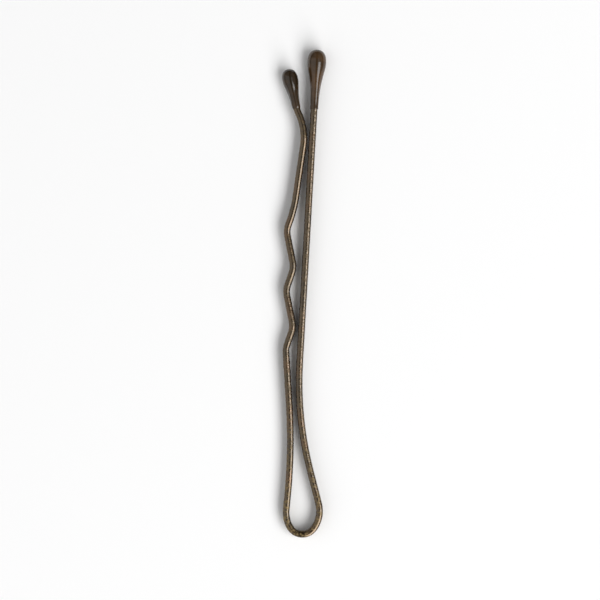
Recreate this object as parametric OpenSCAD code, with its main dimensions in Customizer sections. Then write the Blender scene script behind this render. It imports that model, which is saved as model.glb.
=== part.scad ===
// Bobby pin: one flattened spring-steel wire bent into two legs, with a drop of resin on each end.
// The pin lies in the XY plane. The origin is the centre of the eye inside the bow, +Y points to
// the tips, +X is the side of the straight leg, and Z runs across the width of the wire.
// The wire is set out as a route round pegs, as it is bent round them on a jig.

/* [Overall] */
// Length from the outside of the bow to the nose of the straight tip
pin_length = 50.8; // [42:0.1:64]
// The crimped leg's tip stands this far below the straight leg's tip
tip_drop = 1.95; // [0.5:0.05:4]

/* [Wire] */
// Thickness of the flattened wire, in the plane of the bends
wire_t = 0.74; // [0.5:0.01:0.95]
// Width of the flattened wire, across the bends
wire_w = 1.35; // [1.1:0.05:1.8]
// Radius of the wire's rolled edges
edge_r = 0.5; // [0.48:0.01:0.55]

/* [Bow] */
// Radius of the eye inside the bow
eye_r = 1.13; // [0.8:0.01:1.5]
// The eye's round runs this far to each side of its lowest point, in degrees
eye_half_turn = 58; // [55:1:65]
// Inner radius of the bow's flanks, above the eye's round
flank_r = 2.7; // [2:0.1:4]

/* [Straight leg] */
// The straight leg's centre line stands in from that of the bow's crimped side by this much
leg_in = 0.54; // [0.4:0.01:0.7]
// Height of the bend where the straight leg starts to spread, as a share of the first crest's height
splay_share = 0.606; // [0.5:0.002:0.7]
// Length of leg, on each side of that bend, over which it is eased
splay_ease = 5.7; // [2:0.1:7]

/* [Crimped leg] */
// Height of the bend at the crimped leg's waist, as a share of the first crest's height
waist_share = 0.406; // [0.3:0.002:0.45]
// The waist's inner side stands past the line of the straight leg's facing side by this much
waist_past = 0.45; // [0.2:0.01:0.6]
// Length of leg, on each side of the waist, over which it is eased
waist_ease = 4.6; // [1:0.1:6]
// Number of crimps
crimp_count = 3; // [2:1:3]
// Distance from one crest of the crimps to the next
crimp_pitch = 6.2; // [4.5:0.1:7]
// Place of each valley above its crest, as a share of the pitch
valley_place = 0.4; // [0.35:0.01:0.5]
// Gap between the legs at the first crest above the bow
crest_gap = 0.76; // [0.6:0.01:1.2]
// Each crest stands out further than the one before by this much
crest_step = 0.29; // [0:0.01:0.5]
// Depth from a crest to the valley above it
crimp_depth = 0.52; // [0.3:0.01:0.7]
// Inner radius of each crimp
crimp_r = 1.9; // [1.2:0.1:2.3]
// Gap between the legs at the knee, the bend above the last crimp
knee_gap = 0.76; // [0.5:0.01:1.1]
// Height of the knee above the last crest
knee_rise = 2.25; // [1.8:0.05:3]
// Length of leg, on each side of the knee, over which it is eased
knee_ease = 1.4; // [0.5:0.1:2]

/* [Toe] */
// Gap left between the legs where the toe closes on the straight leg
toe_gap = 0.15; // [0.05:0.01:0.4]
// Inner radius of the toe
toe_r = 5.6; // [4:0.1:7]
// Height of the toe above the last crest
toe_rise = 9.45; // [8:0.05:12]
// Lean of the wire where it leaves the toe's round, away from the straight leg, in degrees
toe_lean = 28.5; // [24:0.5:32]
// Length of wire from the toe's round to the set, the small bend below the crimped tip
set_run = 0.29; // [0.2:0.01:0.6]
// Length of wire, on each side of the set, over which it is eased
set_ease = 0.27; // [0.15:0.01:0.5]
// Lean of the crimped tip, away from the straight leg, in degrees
tip_lean = 15.7; // [8:0.1:22]
// Length of wire from the set to the wire's end, inside the crimped tip
tip_wire = 3.32; // [2.8:0.02:4]

/* [Tips] */
// Diameter of the straight leg's tip
straight_tip_d = 1.98; // [1.5:0.01:2.4]
// Diameter of the crimped leg's tip
crimped_tip_d = 1.66; // [1.5:0.01:2]
// Length of a tip's nose, as a share of its radius
nose_share = 1.35; // [1:0.05:1.5]
// Distance from a tip's widest place at which its bulge has fallen to half, as a share of its radius
waning_share = 2.05; // [1.6:0.05:2.4]
// Length of the straight tip's tail, from its widest place down the wire
straight_tail = 4.5; // [4:0.1:7]
// Thickness of the resin film where a tail ends on the wire
film_t = 0.04; // [0.03:0.01:0.08]
// Length of wire that the film covers beyond each tail
film_run = 0.5; // [0.3:0.05:1]

/* [Hidden] */
$fn = 120;

lacquer_brown = [0.38, 0.30, 0.21];
resin_brown = [0.22, 0.16, 0.11];

// Radii of the wire's centre line.
half_t = wire_t / 2;
eye_c = eye_r + half_t;
flank_c = flank_r + half_t;
crimp_c = crimp_r + half_t;
toe_c = toe_r + half_t;

// Heights, measured down from the nose of the straight tip.
straight_end_y = pin_length - eye_c - half_t - nose_share * straight_tip_d / 2;
crimped_end_y = straight_end_y - tip_drop;
set_y = crimped_end_y - tip_wire * cos(tip_lean);
toe_y = set_y - toe_c * sin(toe_lean) - set_run * cos(toe_lean);
last_crest_y = toe_y - toe_rise;
first_crest_y = last_crest_y - (crimp_count - 1) * crimp_pitch;

// The bow's flanks, and the straight leg's place across the pin.
flank_x = (flank_c - eye_c) * sin(eye_half_turn);
flank_y = (flank_c - eye_c) * cos(eye_half_turn);
bow_half_w = flank_c - flank_x;
leg_x = -bow_half_w + leg_in;

// Where the crimped leg's centre line is, for a gap between the facing sides of the legs.
function across(gap) = leg_x - wire_t - gap;
toe_x = across(toe_gap) - toe_c;
set_x = toe_x + toe_c * cos(toe_lean) - set_run * sin(toe_lean);
crimped_end_x = set_x - tip_wire * sin(tip_lean);
function crest_place(i) = crest_gap + i * crest_step;

// The route runs from the straight tip down to the bow and up to the crimped tip.
// A peg is [x, y, radius of the centre line, turn], where turn is 1 for left and -1 for right.
// A bend with no peg is [x, y, 0, length over which it is eased].
function crest(i) = [across(crest_place(i)) + crimp_c, first_crest_y + i * crimp_pitch, crimp_c, -1];
function valley(i) = [
    across(crest_place(i) - crimp_depth) - crimp_c,
    first_crest_y + (i + valley_place) * crimp_pitch,
    crimp_c,
    1
];
crimps = [for (i = [0 : crimp_count - 2]) each [crest(i), valley(i)], crest(crimp_count - 1)];
down_to_bow = [
    [leg_x, straight_end_y, 0, 0],
    [leg_x, splay_share * first_crest_y, 0, splay_ease]
];
round_bow = [
    [-flank_x, flank_y, flank_c, -1],
    [0, 0, eye_c, -1],
    [flank_x, flank_y, flank_c, -1]
];
up_to_crimps = [
    [across(-waist_past), waist_share * first_crest_y, 0, waist_ease]
];
up_to_tip = [
    [across(knee_gap), last_crest_y + knee_rise, 0, knee_ease],
    [toe_x, toe_y, toe_c, 1],
    [set_x, set_y, 0, set_ease],
    [crimped_end_x, crimped_end_y, 0, 0]
];
route = concat(down_to_bow, round_bow, up_to_crimps, crimps, up_to_tip);
last = len(route) - 1;

// Places in the route.
splay_peg = 1;
right_flank_peg = 2;
eye_peg = 3;
left_flank_peg = 4;
waist_peg = 5;

// Run i is the straight wire between peg i and peg i + 1.
leg_run = 0;
waist_run = waist_peg;
toe_run = last - 3;
tip_run = last - 1;

// The wire flexes all along. It is cut into stiff stretches, at the eye's ends and at these
// shares of a run.
upper_cut = 0.5;
middle_cut = 0.95;
waist_cut = 0.4;
toe_cut = 0.3;

// An eased bend takes up to this share of the straight wire beside it, where the next bend is
// round a peg and where it is eased too.
peg_share = 0.95;
ease_share = 0.49;

// A bend is drawn with a ring of points each time it has turned by this many degrees.
ring_turn = 5;
// Steps in the round of a rolled edge, in a tip's nose and along its taper.
edge_steps = 5;
nose_steps = 12;
taper_steps = 24;

// The nose of a tip is a superellipse of this power, a little fuller than a round of power 2.
nose_power = 2.3;
// The crimped tip's socket is cut past its film by this share of the wire's last run.
socket_share = 0.5;

function spot(i) = [route[i][0], route[i][1]];
function along(heading) = [cos(heading), sin(heading)];
function left_of(heading) = [-sin(heading), cos(heading)];

// Heading of the straight wire that touches peg i and peg i + 1.
function heading(i) =
    let (
        gap = spot(i + 1) - spot(i),
        lean = (route[i + 1][2] * route[i + 1][3] - route[i][2] * route[i][3]) / norm(gap)
    )
    atan2(gap[1], gap[0]) - asin(max(-1, min(1, lean)));

// The bend at peg i: its angle, its radius, its centre and the wire's place on it.
function bend_angle(i) =
    let (turned = heading(i) - heading(i - 1))
    turned - 360 * round(turned / 360);
// An eased bend keeps to the straight wire that the bends beside it leave free.
function free_length(i, j) =
    let (reach = sqrt(max(0, pow(norm(spot(j) - spot(i)), 2) - pow(route[j][2], 2))))
    reach * (route[j][2] > 0 ? peg_share : ease_share);
function eased_length(i) = min(route[i][3], free_length(i, i - 1), free_length(i, i + 1));
function bend_radius(i) =
    route[i][2] > 0 ? route[i][2] : eased_length(i) / tan(abs(bend_angle(i)) / 2);
function to_centre(i, heading) = sign(bend_angle(i)) * bend_radius(i) * left_of(heading);
function bend_centre(i) =
    route[i][2] > 0
    ? spot(i)
    : spot(i) - eased_length(i) * along(heading(i - 1)) + to_centre(i, heading(i - 1));
function bend_place(i, heading) = bend_centre(i) - to_centre(i, heading);

function run_start(i) = i == 0 ? spot(0) : bend_place(i, heading(i));
function run_end(i) = i == tip_run ? spot(last) : bend_place(i + 1, heading(i));
function run_length(i) = norm(run_end(i) - run_start(i));
function run_place(i, share) = run_start(i) + share * run_length(i) * along(heading(i));

// Outline of flattened round wire, with flat sides and rolled edges, and a film all over it.
function rolled_edge(film, side) =
    let (round_r = edge_r + film, half_angle = asin((half_t + film) / round_r))
    [for (k = [0 : edge_steps])
        let (a = side * half_angle * (1 - 2 * k / edge_steps))
        [round_r * sin(a), side * (wire_w / 2 - edge_r + round_r * cos(a))]];
function wire_outline(film) = concat(rolled_edge(film, 1), rolled_edge(film, -1));

// Straight wire along run i, between two shares of its length.
module straight(i, from, to, film = 0) {
    translate(run_place(i, from))
        rotate([90, 0, heading(i) + 90])
            linear_extrude((to - from) * run_length(i))
                polygon(wire_outline(film));
}

// The round of the eye, turned about the eye's centre.
module round_eye(i) {
    translate(bend_centre(i))
        rotate(heading(i) + 90)
            rotate_extrude(angle = -bend_angle(i))
                translate([bend_radius(i), 0])
                    polygon(wire_outline(0));
}

// A ring is [x, y, heading]: the wire's outline stands there, square to the heading.
function run_ring(i, share) = concat(run_place(i, share), heading(i));
function bend_rings(i) =
    let (steps = ceil(abs(bend_angle(i)) / ring_turn))
    [for (k = [0 : steps])
        let (h = heading(i - 1) + bend_angle(i) * k / steps)
        concat(bend_place(i, h), h)];
function ring_points(ring) = [
    for (p = wire_outline(0))
        let (q = [ring[0], ring[1]] + p[0] * left_of(ring[2]))
        [q[0], q[1], p[1]]
];

// Wire through a list of rings, as one solid.
module bent_wire(rings) {
    sides = 2 * (edge_steps + 1);
    far = sides * (len(rings) - 1);
    walls = [
        for (k = [0 : len(rings) - 2])
            for (j = [0 : sides - 1])
                let (a = k * sides + j, b = k * sides + (j + 1) % sides)
                [a, a + sides, b + sides, b]
    ];
    ends = [
        [for (j = [0 : sides - 1]) j],
        [for (j = [sides - 1 : -1 : 0]) far + j]
    ];
    polyhedron([for (ring = rings) each ring_points(ring)], concat(walls, ends));
}

// Resin drop about the Z axis, with its widest place at Z = 0 and its nose up.
module drop(tip_d, tail) {
    widest = tip_d / 2;
    thinnest = half_t + film_t / 2;
    function bulge(z) = 1 / (1 + pow(z / (waning_share * widest), 2));
    function fall(z) = (bulge(z) - bulge(tail)) / (1 - bulge(tail));
    nose = [for (k = [0 : nose_steps])
        let (a = 90 * k / nose_steps)
        widest * [pow(cos(a), 2 / nose_power), nose_share * pow(sin(a), 2 / nose_power)]];
    taper = [for (k = [taper_steps : -1 : 1])
        let (z = tail * k / taper_steps) [thinnest + (widest - thinnest) * fall(z), -z]];
    rotate_extrude() polygon(concat([[0, -tail]], taper, nose));
}

module bow() {
    color(lacquer_brown) round_eye(eye_peg);
}

module straight_leg_lower() {
    color(lacquer_brown)
        bent_wire(concat(
            [run_ring(leg_run, middle_cut)],
            bend_rings(splay_peg),
            bend_rings(right_flank_peg)
        ));
}

module straight_leg_middle() {
    color(lacquer_brown) straight(leg_run, upper_cut, middle_cut);
}

module straight_leg_upper() {
    color(lacquer_brown) straight(leg_run, 0, upper_cut);
}

module crimped_leg_lower() {
    color(lacquer_brown)
        bent_wire(concat(
            bend_rings(left_flank_peg),
            bend_rings(waist_peg),
            [run_ring(waist_run, waist_cut)]
        ));
}

module crimped_leg_waves() {
    crimp_rings = [for (i = [waist_peg + 1 : toe_run]) each bend_rings(i)];
    color(lacquer_brown)
        bent_wire(concat([run_ring(waist_run, waist_cut)], crimp_rings, [run_ring(toe_run, toe_cut)]));
}

module crimped_leg_toe() {
    toe_rings = [for (i = [toe_run + 1 : tip_run]) each bend_rings(i)];
    color(lacquer_brown)
        bent_wire(concat([run_ring(toe_run, toe_cut)], toe_rings, [run_ring(tip_run, 1)]));
}

// Each tip is a drop and a film of resin, with a socket that the wire's end fills.
module straight_tip() {
    film_end = (straight_tail + film_run) / run_length(leg_run);
    color(resin_brown)
        difference() {
            union() {
                translate(spot(0))
                    rotate([0, 90, heading(leg_run) + 180])
                        drop(straight_tip_d, straight_tail);
                straight(leg_run, 0, film_end, film_t);
            }
            straight(leg_run, 0, upper_cut);
        }
}

module crimped_tip() {
    tail = run_length(tip_run) - film_run;
    color(resin_brown)
        difference() {
            union() {
                translate(spot(last))
                    rotate([0, 90, heading(tip_run)])
                        drop(crimped_tip_d, tail);
                straight(tip_run, 0, 1, film_t);
            }
            straight(tip_run, -socket_share, 1);
        }
}

bow();
straight_leg_lower();
straight_leg_middle();
straight_leg_upper();
crimped_leg_lower();
crimped_leg_waves();
crimped_leg_toe();
straight_tip();
crimped_tip();
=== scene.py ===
from math import asin, atan2, ceil, cos, degrees, exp, hypot, pi, radians, sin, sqrt, tan

import bmesh
import bpy
from mathutils import Matrix, Vector, noise


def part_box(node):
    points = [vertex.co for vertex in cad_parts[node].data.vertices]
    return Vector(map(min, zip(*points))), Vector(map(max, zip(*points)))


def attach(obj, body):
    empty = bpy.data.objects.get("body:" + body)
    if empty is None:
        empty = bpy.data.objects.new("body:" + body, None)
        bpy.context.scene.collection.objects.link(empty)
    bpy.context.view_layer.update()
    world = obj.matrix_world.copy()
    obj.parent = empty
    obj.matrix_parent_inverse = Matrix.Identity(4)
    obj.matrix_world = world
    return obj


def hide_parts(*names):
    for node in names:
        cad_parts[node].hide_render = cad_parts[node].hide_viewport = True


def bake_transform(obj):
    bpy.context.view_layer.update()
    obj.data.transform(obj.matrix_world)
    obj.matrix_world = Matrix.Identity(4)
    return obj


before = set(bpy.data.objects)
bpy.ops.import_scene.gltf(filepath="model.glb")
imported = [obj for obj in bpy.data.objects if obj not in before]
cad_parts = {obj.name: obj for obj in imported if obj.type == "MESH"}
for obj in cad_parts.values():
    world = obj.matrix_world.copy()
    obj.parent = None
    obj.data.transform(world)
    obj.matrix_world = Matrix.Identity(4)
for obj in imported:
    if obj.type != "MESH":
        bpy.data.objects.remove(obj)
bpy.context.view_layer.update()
mm = 0.001


def toLinear(code):
    # sRGB hex to the linear colour that Blender's sockets hold
    parts = [int(code[i:i + 2], 16) / 255 for i in (1, 3, 5)]
    return [c / 12.92 if c <= 0.04045 else ((c + 0.055) / 1.055) ** 2.4 for c in parts] + [1]


def setInputs(tree, node, values):
    # a socket among the values is joined to, anything else is the input's value
    for name, value in values.items():
        if isinstance(value, bpy.types.NodeSocket):
            tree.links.new(value, node.inputs[name])
        else:
            node.inputs[name].default_value = value


def addNode(tree, kind, settings=None, inputs=None):
    node = tree.nodes.new(kind)
    for name, value in (settings or {}).items():
        setattr(node, name, value)
    setInputs(tree, node, inputs or {})
    return node


def addMaterial(name):
    material = bpy.data.materials.new(name)
    material.use_nodes = True
    return material, material.node_tree, material.node_tree.nodes["Principled BSDF"]


def addObject(name, data):
    added = bpy.data.objects.new(name, data)
    bpy.context.scene.collection.objects.link(added)
    return added


# Lacquer baked on flattened steel wire: a thin brown varnish, stoved hard. It is glossy with a fine
# orange peel, so the light runs along it as a thin broken line. At the bow and on the legs above it
# the film is worn thin, and the steel under it warms it to gold and olive.
lacquer = {
    "deepBrown": "#41331d",
    "midBrown": "#4f3e23",
    "redBrown": "#5c4226",
    "goldOlive": "#907840",
    "tones": (0.3, 0.5, 0.72),    # places of the three browns in the cloud
    "metallic": 0.9,
    "roughness": (0.2, 0.55),     # smooth film, and its dull specks
    "coat": 1.0,
    "coatIor": 1.58,
    "coatRoughness": (0.04, 0.45),
    "cloudSize": 1.6,             # mm, slow change of tone along the wire
    "speckSize": 0.34,            # mm, worn and dull specks
    "wornSpecks": (0.48, 0.64),   # speck noise where the wear starts and where it is full
    "dullSpecks": (0.44, 0.6),    # the same for the dullness
    "wornTo": 14.0,               # mm above the eye, where the wear has faded
    "wearAtBow": 0.75,
    "wearAbove": 0.1,
    "peelSize": 0.3,              # mm, orange peel, drawn coarser than the real one so that it shows
    "peelAcross": 0.35,           # the film ran along the wire, so its waves lie across it
    "peelDepth": 0.02,            # mm
    "smoothFrom": (22.0, 32.0),   # mm, the crimped leg's film is smoother above this stretch
    "smoothLeft": (-1.9, -1.6),   # mm, and the straight leg lies on the other side of this
    "smoothPeel": 0.3,            # share of the peel and the dullness that is kept there
}


def bakedLacquer():
    material, tree, shader = addMaterial("bakedLacquerOnSteelWire")
    place = addNode(tree, "ShaderNodeTexCoord").outputs["Object"]
    split = addNode(tree, "ShaderNodeSeparateXYZ", None, {"Vector": place})

    # three browns that drift into each other
    cloud = addNode(tree, "ShaderNodeTexNoise", None, {
        "Vector": place, "Scale": 1 / (lacquer["cloudSize"] * mm), "Detail": 3.0, "Roughness": 0.6})
    tone = addNode(tree, "ShaderNodeValToRGB", None, {"Fac": cloud.outputs["Fac"]})
    low, middle, high = lacquer["tones"]
    stops = tone.color_ramp.elements
    stops[0].position, stops[0].color = low, toLinear(lacquer["deepBrown"])
    stops[1].position, stops[1].color = high, toLinear(lacquer["redBrown"])
    stops.new(middle).color = toLinear(lacquer["midBrown"])

    # specks of thin film, most of them at the bow
    speck = addNode(tree, "ShaderNodeTexNoise", None, {
        "Vector": place, "Scale": 1 / (lacquer["speckSize"] * mm), "Detail": 4.0, "Roughness": 0.7})
    thin = addNode(tree, "ShaderNodeMapRange", None, {
        "Value": speck.outputs["Fac"],
        "From Min": lacquer["wornSpecks"][0], "From Max": lacquer["wornSpecks"][1]})
    wear = addNode(tree, "ShaderNodeMapRange", None, {
        "Value": split.outputs["Y"], "From Min": 0.0, "From Max": lacquer["wornTo"] * mm,
        "To Min": lacquer["wearAtBow"], "To Max": lacquer["wearAbove"]})
    worn = addNode(tree, "ShaderNodeMath", {"operation": "MULTIPLY"}, {
        0: thin.outputs["Result"], 1: wear.outputs["Result"]})
    colour = addNode(tree, "ShaderNodeMix", {"data_type": "RGBA"}, {
        0: worn.outputs["Value"], 6: tone.outputs["Color"], 7: toLinear(lacquer["goldOlive"])})

    # how much of the peel and of the dullness is kept: all of it, but less high on the crimped leg
    upper = addNode(tree, "ShaderNodeMapRange", None, {
        "Value": split.outputs["Y"],
        "From Min": lacquer["smoothFrom"][0] * mm, "From Max": lacquer["smoothFrom"][1] * mm})
    crimped = addNode(tree, "ShaderNodeMapRange", None, {
        "Value": split.outputs["X"],
        "From Min": lacquer["smoothLeft"][0] * mm, "From Max": lacquer["smoothLeft"][1] * mm,
        "To Min": lacquer["smoothPeel"] - 1, "To Max": 0.0})
    kept = addNode(tree, "ShaderNodeMath", {"operation": "MULTIPLY_ADD"}, {
        0: upper.outputs["Result"], 1: crimped.outputs["Result"], 2: 1.0})

    # orange peel
    waves = addNode(tree, "ShaderNodeMapping", None, {
        "Vector": place, "Scale": (lacquer["peelAcross"], 1.0, 1.0)})
    peel = addNode(tree, "ShaderNodeTexNoise", None, {
        "Vector": waves.outputs["Vector"], "Scale": 1 / (lacquer["peelSize"] * mm), "Detail": 2.0,
        "Roughness": 0.5})
    bump = addNode(tree, "ShaderNodeBump", None, {
        "Height": peel.outputs["Fac"], "Distance": lacquer["peelDepth"] * mm,
        "Strength": kept.outputs["Value"]})

    # dull specks in the smooth film
    dull = addNode(tree, "ShaderNodeMapRange", {"interpolation_type": "SMOOTHSTEP"}, {
        "Value": speck.outputs["Fac"],
        "From Min": lacquer["dullSpecks"][0], "From Max": lacquer["dullSpecks"][1]})
    duller = addNode(tree, "ShaderNodeMath", {"operation": "MULTIPLY"}, {
        0: dull.outputs["Result"], 1: kept.outputs["Value"]})
    rough = addNode(tree, "ShaderNodeMapRange", None, {
        "Value": duller.outputs["Value"],
        "To Min": lacquer["roughness"][0], "To Max": lacquer["roughness"][1]})
    coatRough = addNode(tree, "ShaderNodeMapRange", None, {
        "Value": duller.outputs["Value"],
        "To Min": lacquer["coatRoughness"][0], "To Max": lacquer["coatRoughness"][1]})

    setInputs(tree, shader, {
        "Base Color": colour.outputs[2], "Metallic": lacquer["metallic"],
        "Roughness": rough.outputs["Result"], "Normal": bump.outputs["Normal"],
        "Coat Weight": lacquer["coat"], "Coat IOR": lacquer["coatIor"],
        "Coat Roughness": coatRough.outputs["Result"], "Coat Normal": bump.outputs["Normal"]})
    return material


# Epoxy resin that the wire's ends were dipped in and that set as it ran down: smooth, wet looking,
# dark brown. The crimped tip carries painted shade that takes it towards near black.
resin = {
    "nearBlack": "#241a0c",
    "deepBrown": "#3c2b19",
    "midBrown": "#523b24",
    "tones": (0.15, 0.38, 0.68),  # places of the three in the cloud
    "paintedShadeLeft": (-2.4, -2.0),     # mm, the crimped tip, left of this, gets painted shade
    "paintedShadeAmount": 0.22,               # painted shade, taken off the cloud there
    "roughness": 0.09,
    "ior": 1.5,
    "cloudSize": 1.2,             # mm
    "skinSize": 1.4,              # mm, faint unevenness of the set skin
    "skinDepth": 0.002,           # mm
}


def dippedResin():
    material, tree, shader = addMaterial("dippedEpoxyResin")
    place = addNode(tree, "ShaderNodeTexCoord").outputs["Object"]
    split = addNode(tree, "ShaderNodeSeparateXYZ", None, {"Vector": place})

    # clouds of colour, with painted shade that darkens the crimped tip
    cloud = addNode(tree, "ShaderNodeTexNoise", None, {
        "Vector": place, "Scale": 1 / (resin["cloudSize"] * mm), "Detail": 3.0})
    paintedShade = addNode(tree, "ShaderNodeMapRange", None, {
        "Value": split.outputs["X"],
        "From Min": resin["paintedShadeLeft"][0] * mm, "From Max": resin["paintedShadeLeft"][1] * mm,
        "To Min": -resin["paintedShadeAmount"], "To Max": 0.0})
    shadedTone = addNode(tree, "ShaderNodeMath", {"operation": "ADD"}, {
        0: cloud.outputs["Fac"], 1: paintedShade.outputs["Result"]})
    tone = addNode(tree, "ShaderNodeValToRGB", None, {"Fac": shadedTone.outputs["Value"]})
    low, middle, high = resin["tones"]
    stops = tone.color_ramp.elements
    stops[0].position, stops[0].color = low, toLinear(resin["nearBlack"])
    stops[1].position, stops[1].color = high, toLinear(resin["midBrown"])
    stops.new(middle).color = toLinear(resin["deepBrown"])

    skin = addNode(tree, "ShaderNodeTexNoise", None, {
        "Vector": place, "Scale": 1 / (resin["skinSize"] * mm), "Detail": 2.0})
    bump = addNode(tree, "ShaderNodeBump", None, {
        "Height": skin.outputs["Fac"], "Distance": resin["skinDepth"] * mm, "Strength": 1.0})
    setInputs(tree, shader, {
        "Base Color": tone.outputs["Color"], "Roughness": resin["roughness"], "IOR": resin["ior"],
        "Normal": bump.outputs["Normal"]})
    return material


wireFinish = bakedLacquer()
tipFinish = dippedResin()
print("materials made")


# The wire, in mm and degrees, bent as the CAD part sets it out. A bend's radius is that of its inner
# side, a gap is left between the legs, and an ease is the length of wire, on each side of a bend
# with no peg, over which it is eased.
wire = {
    "pinLength": 50.8,      # from the outside of the bow to the nose of the straight tip
    "tipDrop": 1.95,        # the crimped leg ends this far below the straight one
    "thick": 0.74,          # in the plane of the bends
    "wide": 1.35,           # across them
    "edgeRadius": 0.5,      # rolled edges
    "eyeRadius": 1.13,
    "eyeHalfTurn": 58,      # to each side of the eye's lowest point
    "flankRadius": 2.7,     # the bow above the eye's round
    "legIn": 0.54,          # the straight leg stands in from the bow's crimped side
    "splayShare": 0.606,    # height of the straight leg's bend, over that of the first crest
    "splayEase": 5.7,
    "waistShare": 0.406,    # the same for the crimped leg's waist
    "waistPast": 0.45,      # the waist stands past the line of the straight leg's facing side
    "waistEase": 4.6,
    "crimpCount": 3,
    "crimpPitch": 6.2,      # from one crest to the next
    "valleyPlace": 0.4,     # above its crest, as a share of the pitch
    "crestGap": 0.76,       # at the first crest
    "crestStep": 0.29,      # each crest stands out further than the one before
    "crimpDepth": 0.52,
    "crimpRadius": 1.9,
    "kneeGap": 0.76,        # at the bend above the last crest
    "kneeRise": 2.25,       # its height above that crest
    "kneeEase": 1.4,
    "toeGap": 0.15,         # where the crimped leg comes nearest
    "toeRadius": 5.6,
    "toeRise": 9.45,        # height of the toe above the last crest
    "toeLean": 28.5,        # where the wire leaves the toe's round
    "setRun": 0.29,         # from there to the set, the small bend below the crimped tip
    "setEase": 0.27,
    "tipLean": 15.7,        # of the crimped tip, away from the straight leg
    "tipWire": 3.32,        # from the set to the wire's end
    "noseLength": 1.3365,   # from the wire's end to the nose of the straight tip
    "pegShare": 0.95,       # an eased bend takes up to this share of the wire beside a peg's bend
    "easeShare": 0.49,      # and this share of the wire beside another eased one
    "runStep": 0.25,        # between points of the centre line on a straight run
    "turnStep": 1.5,        # the same in a bend
    "samePlace": 0.00001,   # a run shorter than this is left out
    "ringEvery": 0.08,      # between the rings of the finished wire
    "sides": 64,
    "sharpness": 8.0,       # how tightly the flat sides turn into the rolled edges
    "unevenness": 0.012,    # how far the lacquer falls short of its full thickness
    "wave": 0.9,            # length of that unevenness
    "seed": 4.0,
    "flexReach": 4.0,       # wire on each side of a leg's hinge that bends with it
    "eyeReach": 0.95,       # the same at the eye's ends
}


def layRoute():
    # pegs as [x, y, radius of the centre line, turn], and bends with no peg as [x, y, 0, ease]
    eye = wire["eyeRadius"] + wire["thick"] / 2
    flank = wire["flankRadius"] + wire["thick"] / 2
    crimp = wire["crimpRadius"] + wire["thick"] / 2
    toe = wire["toeRadius"] + wire["thick"] / 2
    toeLean, tipLean = radians(wire["toeLean"]), radians(wire["tipLean"])
    straightEnd = wire["pinLength"] - eye - wire["thick"] / 2 - wire["noseLength"]
    crimpedEnd = straightEnd - wire["tipDrop"]
    setY = crimpedEnd - wire["tipWire"] * cos(tipLean)
    toeY = setY - toe * sin(toeLean) - wire["setRun"] * cos(toeLean)
    lastCrest = toeY - wire["toeRise"]
    firstCrest = lastCrest - (wire["crimpCount"] - 1) * wire["crimpPitch"]
    flankX = (flank - eye) * sin(radians(wire["eyeHalfTurn"]))
    flankY = (flank - eye) * cos(radians(wire["eyeHalfTurn"]))
    legX = wire["legIn"] - (flank - flankX)

    def across(gap):
        # centre line of the crimped leg where the legs stand this far apart
        return legX - wire["thick"] - gap

    toeX = across(wire["toeGap"]) - toe
    setX = toeX + toe * cos(toeLean) - wire["setRun"] * sin(toeLean)
    route = [
        [legX, straightEnd, 0, 0],
        [legX, wire["splayShare"] * firstCrest, 0, wire["splayEase"]],
        [-flankX, flankY, flank, -1],
        [0, 0, eye, -1],
        [flankX, flankY, flank, -1],
        [across(-wire["waistPast"]), wire["waistShare"] * firstCrest, 0, wire["waistEase"]],
    ]
    for i in range(wire["crimpCount"]):
        gap = wire["crestGap"] + i * wire["crestStep"]
        crest = firstCrest + i * wire["crimpPitch"]
        route.append([across(gap) + crimp, crest, crimp, -1])
        if i < wire["crimpCount"] - 1:
            valley = crest + wire["valleyPlace"] * wire["crimpPitch"]
            route.append([across(gap - wire["crimpDepth"]) - crimp, valley, crimp, 1])
    route += [
        [across(wire["kneeGap"]), lastCrest + wire["kneeRise"], 0, wire["kneeEase"]],
        [toeX, toeY, toe, 1],
        [setX, setY, 0, wire["setEase"]],
        [setX - wire["tipWire"] * sin(tipLean), crimpedEnd, 0, 0],
    ]
    return route


def bendWire(route):
    # the centre line as [x, y, heading]
    headings = []
    for (x, y, radius, turn), (nextX, nextY, nextRadius, nextTurn) in zip(route, route[1:]):
        lean = (nextRadius * nextTurn - radius * turn) / hypot(nextX - x, nextY - y)
        headings.append(atan2(nextY - y, nextX - x) - asin(lean))

    def freeLength(i, j):
        # straight wire that the bend at j leaves for an eased bend at i
        x, y, radius, _ = route[j]
        reach = (x - route[i][0]) ** 2 + (y - route[i][1]) ** 2
        share = wire["pegShare"] if radius else wire["easeShare"]
        return share * sqrt(max(0, reach - radius ** 2))

    points = [[route[0][0], route[0][1], headings[0]]]

    def runTo(x, y, heading):
        fromX, fromY, _ = points[-1]
        length = hypot(x - fromX, y - fromY)
        if length > wire["samePlace"]:
            steps = ceil(length / wire["runStep"])
            for k in range(1, steps + 1):
                points.append([fromX + (x - fromX) * k / steps, fromY + (y - fromY) * k / steps, heading])

    for i in range(1, len(route) - 1):
        x, y, pegRadius, _ = route[i]
        start = headings[i - 1]
        angle = headings[i] - start
        angle -= 2 * pi * round(angle / (2 * pi))
        side = 1 if angle > 0 else -1
        if pegRadius:
            radius = side * pegRadius
            centreX, centreY = x, y
        else:
            ease = min(route[i][3], freeLength(i, i - 1), freeLength(i, i + 1))
            radius = side * ease / tan(abs(angle) / 2)
            centreX = x - ease * cos(start) - radius * sin(start)
            centreY = y - ease * sin(start) + radius * cos(start)
        runTo(centreX + radius * sin(start), centreY - radius * cos(start), start)
        steps = ceil(degrees(abs(angle)) / wire["turnStep"])
        for k in range(1, steps + 1):
            heading = start + angle * k / steps
            points.append([centreX + radius * sin(heading), centreY - radius * cos(heading), heading])
    runTo(route[-1][0], route[-1][1], headings[-1])
    return points


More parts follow.
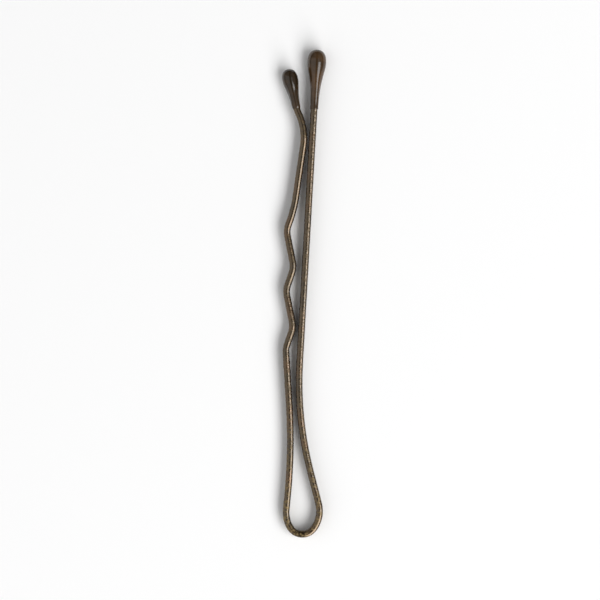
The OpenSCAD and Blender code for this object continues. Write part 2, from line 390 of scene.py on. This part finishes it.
def sweepTree():
    # sweeps the wire's flattened section along a route and keeps the rings that are asked for
    tree = bpy.data.node_groups.new("sweepFlattenedWire", "GeometryNodeTree")
    socket = tree.interface.new_socket
    socket("Route", in_out="INPUT", socket_type="NodeSocketGeometry")
    for name, kind in (
        ("Thickness", "Float"), ("Width", "Float"), ("Edge Radius", "Float"), ("Sharpness", "Float"),
        ("Unevenness", "Float"), ("Wave", "Float"), ("Seed", "Float"), ("Sides", "Int"), ("Rings", "Int"),
        ("First Ring", "Int"), ("Last Ring", "Int"), ("Finish", "Material"),
    ):
        socket(name, in_out="INPUT", socket_type="NodeSocket" + kind)
    socket("Wire", in_out="OUTPUT", socket_type="NodeSocketGeometry")
    given = addNode(tree, "NodeGroupInput").outputs

    centre = addNode(tree, "GeometryNodeMeshToCurve", None, {"Mesh": given["Route"]})
    rings = addNode(tree, "GeometryNodeResampleCurve", {"mode": "COUNT"}, {
        "Curve": centre.outputs["Curve"], "Count": given["Rings"]})
    upright = addNode(tree, "GeometryNodeSetCurveNormal", {"mode": "Z_UP"}, {
        "Curve": rings.outputs["Curve"]})
    number = addNode(tree, "GeometryNodeInputIndex")
    numbered = addNode(tree, "GeometryNodeStoreNamedAttribute", {"data_type": "INT", "domain": "POINT"}, {
        "Geometry": upright.outputs["Curve"], "Name": "ring", "Value": number.outputs["Index"]})

    # section: a round whose halves stand apart, with its sides pressed flat by a soft limit
    circle = addNode(tree, "GeometryNodeCurvePrimitiveCircle", {"mode": "RADIUS"}, {
        "Resolution": given["Sides"], "Radius": given["Edge Radius"]})
    where = addNode(tree, "GeometryNodeInputPosition")
    split = addNode(tree, "ShaderNodeSeparateXYZ", None, {"Vector": where.outputs["Position"]})
    halfThick = addNode(tree, "ShaderNodeMath", {"operation": "MULTIPLY"}, {0: given["Thickness"], 1: 0.5})
    share = addNode(tree, "ShaderNodeMath", {"operation": "DIVIDE"}, {
        0: split.outputs["X"], 1: halfThick.outputs["Value"]})
    size = addNode(tree, "ShaderNodeMath", {"operation": "ABSOLUTE"}, {0: share.outputs["Value"]})
    power = addNode(tree, "ShaderNodeMath", {"operation": "POWER"}, {
        0: size.outputs["Value"], 1: given["Sharpness"]})
    more = addNode(tree, "ShaderNodeMath", {"operation": "ADD"}, {0: power.outputs["Value"], 1: 1.0})
    inverse = addNode(tree, "ShaderNodeMath", {"operation": "DIVIDE"}, {0: 1.0, 1: given["Sharpness"]})
    limit = addNode(tree, "ShaderNodeMath", {"operation": "POWER"}, {
        0: more.outputs["Value"], 1: inverse.outputs["Value"]})
    flat = addNode(tree, "ShaderNodeMath", {"operation": "DIVIDE"}, {
        0: split.outputs["X"], 1: limit.outputs["Value"]})
    halfWide = addNode(tree, "ShaderNodeMath", {"operation": "MULTIPLY"}, {0: given["Width"], 1: 0.5})
    apart = addNode(tree, "ShaderNodeMath", {"operation": "SUBTRACT"}, {
        0: halfWide.outputs["Value"], 1: given["Edge Radius"]})
    half = addNode(tree, "ShaderNodeMath", {"operation": "SIGN"}, {0: split.outputs["Y"]})
    wide = addNode(tree, "ShaderNodeMath", {"operation": "MULTIPLY_ADD"}, {
        0: half.outputs["Value"], 1: apart.outputs["Value"], 2: split.outputs["Y"]})
    pressed = addNode(tree, "ShaderNodeCombineXYZ", None, {
        "X": flat.outputs["Value"], "Y": wide.outputs["Value"]})
    section = addNode(tree, "GeometryNodeSetPosition", None, {
        "Geometry": circle.outputs["Curve"], "Position": pressed.outputs["Vector"]})
    swept = addNode(tree, "GeometryNodeCurveToMesh", None, {
        "Curve": numbered.outputs["Geometry"], "Profile Curve": section.outputs["Geometry"]})

    # the lacquer is nowhere thicker than the section, and falls a little short of it
    scale = addNode(tree, "ShaderNodeMath", {"operation": "DIVIDE"}, {0: 1.0, 1: given["Wave"]})
    wave = addNode(tree, "ShaderNodeTexNoise", {"noise_dimensions": "4D"}, {
        "Scale": scale.outputs["Value"], "W": given["Seed"], "Detail": 2.0})
    short = addNode(tree, "ShaderNodeMath", {"operation": "MULTIPLY"}, {
        0: wave.outputs["Fac"], 1: given["Unevenness"]})
    inward = addNode(tree, "ShaderNodeMath", {"operation": "MULTIPLY"}, {0: short.outputs["Value"], 1: -1.0})
    normal = addNode(tree, "GeometryNodeInputNormal")
    offset = addNode(tree, "ShaderNodeVectorMath", {"operation": "SCALE"}, {
        0: normal.outputs["Normal"], "Scale": inward.outputs["Value"]})
    coated = addNode(tree, "GeometryNodeSetPosition", None, {
        "Geometry": swept.outputs["Mesh"], "Offset": offset.outputs["Vector"]})

    # one stretch of it
    ring = addNode(tree, "GeometryNodeInputNamedAttribute", {"data_type": "INT"}, {"Name": "ring"})
    before = addNode(tree, "FunctionNodeCompare", {"data_type": "INT", "operation": "LESS_THAN"}, {
        2: ring.outputs[0], 3: given["First Ring"]})
    after = addNode(tree, "FunctionNodeCompare", {"data_type": "INT", "operation": "GREATER_THAN"}, {
        2: ring.outputs[0], 3: given["Last Ring"]})
    outside = addNode(tree, "FunctionNodeBooleanMath", {"operation": "OR"}, {
        0: before.outputs["Result"], 1: after.outputs["Result"]})
    kept = addNode(tree, "GeometryNodeDeleteGeometry", {"domain": "POINT"}, {
        "Geometry": coated.outputs["Geometry"], "Selection": outside.outputs["Boolean"]})
    smooth = addNode(tree, "GeometryNodeSetShadeSmooth", {"domain": "FACE"}, {
        "Geometry": kept.outputs["Geometry"], "Shade Smooth": True})
    real = addNode(tree, "GeometryNodeRealizeInstances", None, {"Geometry": smooth.outputs["Geometry"]})
    painted = addNode(tree, "GeometryNodeSetMaterial", None, {
        "Geometry": real.outputs["Geometry"], "Material": given["Finish"]})
    addNode(tree, "NodeGroupOutput", None, {"Wire": painted.outputs["Geometry"]})
    return tree


def closeEnds(mesh):
    # flat caps with sharp rims, so that the shading of one stretch runs on into the next
    shape = bmesh.new()
    shape.from_mesh(mesh)
    rims = [edge for edge in shape.edges if edge.is_boundary]
    caps = bmesh.ops.holes_fill(shape, edges=rims, sides=0)["faces"]
    for cap in caps:
        cap.smooth = False
        for edge in cap.edges:
            edge.smooth = False
    bmesh.ops.recalc_face_normals(shape, faces=shape.faces)
    if shape.calc_volume(signed=True) < 0:
        bmesh.ops.reverse_faces(shape, faces=shape.faces)
    bmesh.ops.triangulate(shape, faces=caps)
    shape.to_mesh(mesh)
    shape.free()
    mesh.attributes.remove(mesh.attributes["ring"])


def sweepStretch(name, tree, points, rings, first, last):
    route = bpy.data.meshes.new(name + "Route")
    route.from_pydata(
        [(x * mm, y * mm, 0) for x, y, _ in points],
        [(i, i + 1) for i in range(len(points) - 1)],
        [],
    )
    raw = addObject(name + "Raw", route)
    modifier = raw.modifiers.new("sweep", "NODES")
    modifier.node_group = tree
    # the soft limit leaves the flats a little thin, so the section starts that much thicker
    reach = 2 * wire["edgeRadius"] / wire["thick"]
    softened = reach / (1 + reach ** wire["sharpness"]) ** (1 / wire["sharpness"])
    given = {
        "Thickness": wire["thick"] / softened * mm, "Width": wire["wide"] * mm,
        "Edge Radius": wire["edgeRadius"] * mm, "Sharpness": wire["sharpness"],
        "Unevenness": wire["unevenness"] * mm, "Wave": wire["wave"] * mm, "Seed": wire["seed"],
        "Sides": wire["sides"], "Rings": rings, "First Ring": first, "Last Ring": last,
        "Finish": wireFinish,
    }
    for item in tree.interface.items_tree:
        if item.in_out == "INPUT" and item.name in given:
            modifier[item.identifier] = given[item.name]
    ready = raw.evaluated_get(bpy.context.evaluated_depsgraph_get())
    mesh = bpy.data.meshes.new_from_object(ready)
    mesh.name = name
    bpy.data.objects.remove(raw)
    closeEnds(mesh)
    return addObject(name, mesh)


def lengthAlong(points):
    total = [0]
    for (x, y, _), (nextX, nextY, _) in zip(points, points[1:]):
        total.append(total[-1] + hypot(nextX - x, nextY - y))
    return total


centreLine = bendWire(layRoute())
travelled = lengthAlong(centreLine)
ringCount = round(travelled[-1] / wire["ringEvery"]) + 1
lowest = min(range(len(centreLine)), key=lambda i: centreLine[i][1])


def ringAt(i):
    # the ring nearest to a point of the centre line
    return round(travelled[i] / travelled[-1] * (ringCount - 1))


def middleOf(node, leg):
    # the ring at mid height of a CAD stretch, on the straight or on the crimped leg
    low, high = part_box(node)
    height = (low[1] + high[1]) / 2 / mm
    legPoints = range(lowest) if leg == "straight" else range(lowest, len(centreLine))
    return ringAt(min(legPoints, key=lambda i: abs(centreLine[i][1] - height)))


# Each stretch lies across one hinge and ends in the middle of a stiff CAD stretch. Listed from the
# straight tip round the bow to the crimped tip: name, hinge, the bodies before and after it, the
# nodes it stands for, the ring where it ends and how far from the hinge it bends.
stretches = [
    ("straightLegUpperWire", "straight_tip_flex", "straight_leg_upper", "straight_leg_middle",
     ["straight_leg_upper"], middleOf("straight_leg_middle", "straight"), wire["flexReach"]),
    ("straightLegMiddleWire", "straight_leg_flex", "straight_leg_middle", "straight_leg_lower",
     ["straight_leg_middle"], middleOf("straight_leg_lower", "straight"), wire["flexReach"]),
    ("straightLegLowerWire", "straight_leg_spread", "straight_leg_lower", "bow",
     ["straight_leg_lower"], ringAt(lowest), wire["eyeReach"]),
    ("bowWire", "crimped_leg_spread", "bow", "crimped_leg_lower",
     ["bow"], middleOf("crimped_leg_lower", "crimped"), wire["eyeReach"]),
    ("crimpedLegLowerWire", "crimped_leg_flex", "crimped_leg_lower", "crimped_leg_waves",
     ["crimped_leg_lower"], middleOf("crimped_leg_waves", "crimped"), wire["flexReach"]),
    ("crimpedLegUpperWire", "crimped_toe_flex", "crimped_leg_waves", "crimped_leg_toe",
     ["crimped_leg_waves", "crimped_leg_toe"], ringCount - 1, wire["flexReach"]),
]
wireTree = sweepTree()
firstRing = 0
for name, hinge, before, after, nodes, lastRing, reach in stretches:
    piece = sweepStretch(name, wireTree, centreLine, ringCount, firstRing, lastRing)
    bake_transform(piece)
    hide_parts(*nodes)
    firstRing = lastRing
print("wire swept, %.1f mm long in %d stretches" % (travelled[-1], len(stretches)))


# The two resin tips, in mm. Each is a drop with its widest place at the wire's end, that thins along
# its tail to a film with a small uneven lip. The lip swells the film by that much at most, lipRun
# above the film's edge.
drops = {
    "straight": {"wide": 1.98, "tail": 4.5, "seed": 3.0, "lip": 0.025, "lipRun": 0.12},
    "crimped": {"wide": 1.66, "tail": 2.82, "seed": 11.0, "lip": 0.02, "lipRun": 0.55},
}
dip = {
    "fullness": 0.996,      # share of the width that is drawn, so that a drop stays in its CAD box
    "noseShare": 1.35,      # length of the nose over half the width
    "nosePower": 2.3,       # a little fuller than a round nose
    "waningShare": 2.05,    # where the bulge has fallen to half, over half the width
    "film": 0.04,
    "filmShare": 0.6,       # share of the film that is drawn
    "filmRun": 0.5,         # wire that the film covers beyond the tail
    "filmFade": 0.4,        # share that the film gives up towards the wire's end, inside the drop
    "lipWander": 0.16,      # how far the edge wanders up and down the wire
    "wanderScale": 1.3,     # more of it gives more waves round the wire
    "melt": 7.0,            # how tightly the drop turns into the film on the wire
    "sunk": 0.06,           # the last ring lies at least this deep in the wire
    "sunkRun": 0.6,         # share of lipRun over which the film rises out of it
    "around": 72,
    "noseRings": 28,
    "tailRings": 90,
}


def wireReach(angle, film):
    # from the wire's centre to its surface, film included, in one direction of the section
    across, up = abs(cos(angle)), abs(sin(angle))
    middle, radius = wire["wide"] / 2 - wire["edgeRadius"], wire["edgeRadius"] + film
    edge = middle * up + sqrt(radius ** 2 - (middle * across) ** 2)
    return min(edge, (wire["thick"] / 2 + film) / across) if across else edge


def dipTip(name, drop, end):
    # end is the wire's end as [x, y, heading], with the heading towards the nose
    halfWide = drop["wide"] / 2 * dip["fullness"]
    noseLength = dip["noseShare"] * halfWide
    tailEnd = drop["tail"] + dip["filmRun"]
    thinnest = wire["thick"] / 2 + dip["film"] / 2

    def bulge(z):
        return 1 / (1 + (z / (dip["waningShare"] * halfWide)) ** 2)

    def dropRadius(z):
        if z >= 0:
            return halfWide * (1 - min(1, z / noseLength) ** dip["nosePower"]) ** (1 / dip["nosePower"])
        fall = max(0, (bulge(z) - bulge(drop["tail"])) / (1 - bulge(drop["tail"])))
        return (thinnest + (halfWide - thinnest) * fall) if fall else 0

    def filmAt(z, angle):
        # above its edge the film swells to a lip and thins again, and below it the ring is sunk
        place = Vector((cos(angle), sin(angle), drop["seed"])) * dip["wanderScale"]
        away = z + tailEnd - dip["lipWander"] * (1 + noise.noise(place)) / 2
        share = max(0, away) / drop["lipRun"]
        sunk = (dip["sunk"] + dip["film"]) * (1 - min(1, share / dip["sunkRun"])) ** 2
        return dip["film"] * dip["filmShare"] + drop["lip"] * share * exp(1 - share) - sunk

    def surface(z, angle):
        body = dropRadius(z)
        if z > 0:
            return body
        fade = 1 - dip["filmFade"] * max(0, 1 + z / halfWide) ** 2
        film = wireReach(angle, filmAt(z, angle)) * fade
        return (body ** dip["melt"] + film ** dip["melt"]) ** (1 / dip["melt"])

    places = []
    for k in range(1, dip["noseRings"] + 1):
        turn = pi / 2 * k / dip["noseRings"]
        places.append(noseLength * max(0, cos(turn)) ** (2 / dip["nosePower"]))
    for k in range(1, dip["tailRings"] + 1):
        places.append(-tailEnd * k / dip["tailRings"])

    endX, endY, heading = end
    alongX, alongY = cos(heading), sin(heading)
    shape = bmesh.new()
    nose = shape.verts.new([(endX + alongX * noseLength) * mm, (endY + alongY * noseLength) * mm, 0])
    rings = []
    for z in places:
        ring = []
        for j in range(dip["around"]):
            angle = 2 * pi * j / dip["around"]
            radius = surface(z, angle)
            side, up = radius * cos(angle), radius * sin(angle)
            x = endX + alongX * z - alongY * side
            y = endY + alongY * z + alongX * side
            ring.append(shape.verts.new([x * mm, y * mm, up * mm]))
        rings.append(ring)
    for j in range(dip["around"]):
        k = (j + 1) % dip["around"]
        shape.faces.new([nose, rings[0][j], rings[0][k]])
        for upper, lower in zip(rings, rings[1:]):
            shape.faces.new([upper[j], lower[j], lower[k], upper[k]])
    shape.faces.new(rings[-1])
    bmesh.ops.recalc_face_normals(shape, faces=shape.faces)
    for face in shape.faces:
        face.smooth = True
    mesh = bpy.data.meshes.new(name)
    shape.to_mesh(mesh)
    shape.free()
    mesh.materials.append(tipFinish)
    return addObject(name, mesh)


startX, startY, startHeading = centreLine[0]
straightTip = dipTip("straightResinTip", drops["straight"], [startX, startY, startHeading + pi])
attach(straightTip, "straight_leg_upper")
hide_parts("straight_tip")
crimpedTip = dipTip("crimpedResinTip", drops["crimped"], centreLine[-1])
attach(crimpedTip, "crimped_leg_toe")
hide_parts("crimped_tip")
print("tips dipped")


# The table is matte white paper: uncoated, so it scatters the light evenly and shows no highlight.
paper = {
    "white": "#fcfcfc",
    "roughness": 0.9,
    "specular": 0.1,
    "across": 0.9,                # m
    "sides": 48,
}


def layTable():
    # it carries the bow's lower edge and the straight tip, so it slopes a little under the pin
    bowLow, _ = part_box("bow")
    tipLow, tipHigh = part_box("straight_tip")
    tipY = tipHigh[1] - wire["noseLength"] * mm
    slope = (tipLow[2] - bowLow[2]) / (tipY - bowLow[1])
    shape = bmesh.new()
    ring = []
    for k in range(paper["sides"]):
        turn = 2 * pi * k / paper["sides"]
        x, y = paper["across"] / 2 * cos(turn), paper["across"] / 2 * sin(turn)
        ring.append(shape.verts.new([x, y, bowLow[2] + slope * (y - bowLow[1])]))
    shape.faces.new(ring)
    mesh = bpy.data.meshes.new("tableTop")
    shape.to_mesh(mesh)
    shape.free()
    material, tree, shader = addMaterial("matteWhitePaper")
    setInputs(tree, shader, {
        "Base Color": toLinear(paper["white"]), "Roughness": paper["roughness"],
        "Specular IOR Level": paper["specular"]})
    mesh.materials.append(material)
    addObject("tableTop", mesh)


# One large soft box stands at the lower right and gives the long highlight.
softBox = {
    "off": 45,                    # degrees from straight up
    "towards": -42,               # degrees, the side it stands on, 0 right and -90 past the bow
    "distance": 1.0,              # m
    "size": (0.52, 1.34),         # m, across and along the pin
    "power": 10.8,                # W
}


def hangSoftBox():
    off, towards = radians(softBox["off"]), radians(softBox["towards"])
    lamp = bpy.data.lights.new("softBox", "AREA")
    lamp.shape = "RECTANGLE"
    lamp.size, lamp.size_y = softBox["size"]
    lamp.energy = softBox["power"]
    away = Vector((sin(off) * cos(towards), sin(off) * sin(towards), cos(off)))
    along = (Vector((0, 1, 0)) - away * away.y).normalized()
    light = addObject("softBox", lamp)
    middleX, middleY = view["middle"]
    light.location = Vector((middleX * mm, middleY * mm, 0)) + away * softBox["distance"]
    light.rotation_euler = Matrix((along.cross(away), along, away)).transposed().to_euler()


# The sky fills in the rest. Its ranges are on how far a direction points that way, from 0, square to
# it, to 1.
sky = {
    "strength": 0.82,             # to the left, where it is even
    "horizonShare": 0.12,         # share of it that is left at the horizon
    "horizonTo": (0.05, 0.4),     # upwards, where it starts to brighten and where it is full
    "flagShare": 0.35,            # share of it that black flags leave on the right and past the tips
    "flagFrom": (0.42, 0.62),     # to the right, where the flags start and where they are full
    "flagPast": 0.2,              # and they start this much sooner past the tips
    "boomStrength": 0.06,         # in a band over the pin, where the camera hangs from its boom
    "boomTo": (0.1, 0.26),        # to each side, where the band starts to fade and where it is gone
}


def paintSky():
    world = bpy.data.worlds.new("studioSky")
    world.use_nodes = True
    bpy.context.scene.world = world
    tree = world.node_tree
    direction = addNode(tree, "ShaderNodeTexCoord").outputs["Generated"]
    split = addNode(tree, "ShaderNodeSeparateXYZ", None, {"Vector": direction})
    past = addNode(tree, "ShaderNodeMath", {"operation": "ADD"}, {
        0: split.outputs["Y"], 1: sky["flagPast"]})
    nearer = addNode(tree, "ShaderNodeMath", {"operation": "MAXIMUM"}, {
        0: split.outputs["X"], 1: past.outputs["Value"]})
    flag = addNode(tree, "ShaderNodeMapRange", {"interpolation_type": "SMOOTHSTEP"}, {
        "Value": nearer.outputs["Value"],
        "From Min": sky["flagFrom"][0], "From Max": sky["flagFrom"][1],
        "To Min": sky["strength"], "To Max": sky["strength"] * sky["flagShare"]})
    beside = addNode(tree, "ShaderNodeMath", {"operation": "ABSOLUTE"}, {0: split.outputs["X"]})
    boom = addNode(tree, "ShaderNodeMapRange", {"interpolation_type": "SMOOTHSTEP"}, {
        "Value": beside.outputs["Value"], "From Min": sky["boomTo"][0], "From Max": sky["boomTo"][1],
        "To Min": sky["boomStrength"], "To Max": flag.outputs["Result"]})
    horizon = addNode(tree, "ShaderNodeMapRange", {"interpolation_type": "SMOOTHSTEP"}, {
        "Value": split.outputs["Z"], "From Min": sky["horizonTo"][0], "From Max": sky["horizonTo"][1],
        "To Min": sky["horizonShare"], "To Max": 1.0})
    strength = addNode(tree, "ShaderNodeMath", {"operation": "MULTIPLY"}, {
        0: boom.outputs["Result"], 1: horizon.outputs["Result"]})
    setInputs(tree, tree.nodes["Background"], {
        "Color": toLinear("#ffffff"), "Strength": strength.outputs["Value"]})


# The camera looks straight down from a boom.
view = {
    "middle": (-1.538, 22.803),   # mm, what the camera looks at
    "width": 62.46,               # mm, across the photograph's frame
    "lens": 200,
    "sensor": 36,
    "roll": 3.25,
    "clip": (0.01, 10),           # m
}


def standCamera():
    data = bpy.data.cameras.new("camera")
    data.lens = view["lens"]
    data.sensor_width = view["sensor"]
    data.clip_start, data.clip_end = view["clip"]
    camera = addObject("camera", data)
    middleX, middleY = view["middle"]
    above = view["width"] * view["lens"] / view["sensor"]
    camera.location = (middleX * mm, middleY * mm, above * mm)
    camera.rotation_euler = (0, 0, radians(view["roll"]))
    bpy.context.scene.camera = camera


layTable()
hangSoftBox()
paintSky()
standCamera()
bpy.context.scene.view_settings.view_transform = "Standard"
print("studio set up")
